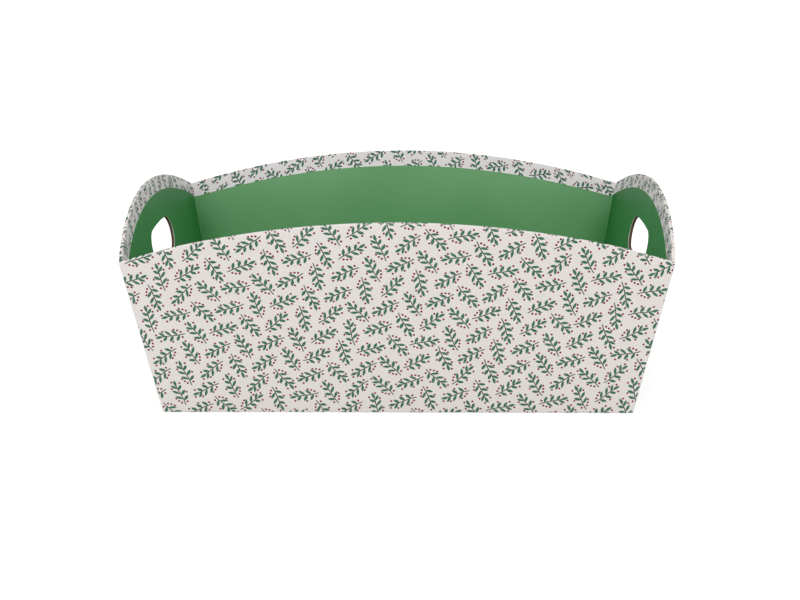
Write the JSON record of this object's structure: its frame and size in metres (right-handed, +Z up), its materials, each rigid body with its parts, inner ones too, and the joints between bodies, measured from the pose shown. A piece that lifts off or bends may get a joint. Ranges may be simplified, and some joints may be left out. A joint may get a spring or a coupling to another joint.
{
  "type": "hamper tray",
  "caption": "Flared open tray of wrapped board with arched rims, turned-in printed paper, green lining and a hand hole in each short wall, for holding gifts or food.",
  "frame": {"origin": "middle of the underside, on the surface the tray stands on", "axes": "+X along the long walls, +Y from the front to the back wall, +Z up"},
  "size_m": [0.4106, 0.3112, 0.1543],
  "materials": {
    "greyboard": "raw, matt",
    "stay_tape": "matt",
    "printed_wrap": "satin print",
    "base_paper": "matt",
    "green_lining": "satin"
  },
  "bodies": {
    "root": {"base_board": "greyboard", "front_board": "greyboard", "back_board": "greyboard", "left_end_board": "greyboard", "right_end_board": "greyboard", "corner_stay_front_left": "stay_tape", "corner_stay_front_right": "stay_tape", "corner_stay_back_left": "stay_tape", "corner_stay_back_right": "stay_tape", "front_wrap": "printed_wrap", "back_wrap": "printed_wrap", "left_end_wrap": "printed_wrap", "right_end_wrap": "printed_wrap", "base_sheet": "base_paper", "base_liner": "green_lining", "front_liner": "green_lining", "back_liner": "green_lining", "left_end_liner": "green_lining", "right_end_liner": "green_lining"}
  },
  "joints": []
}
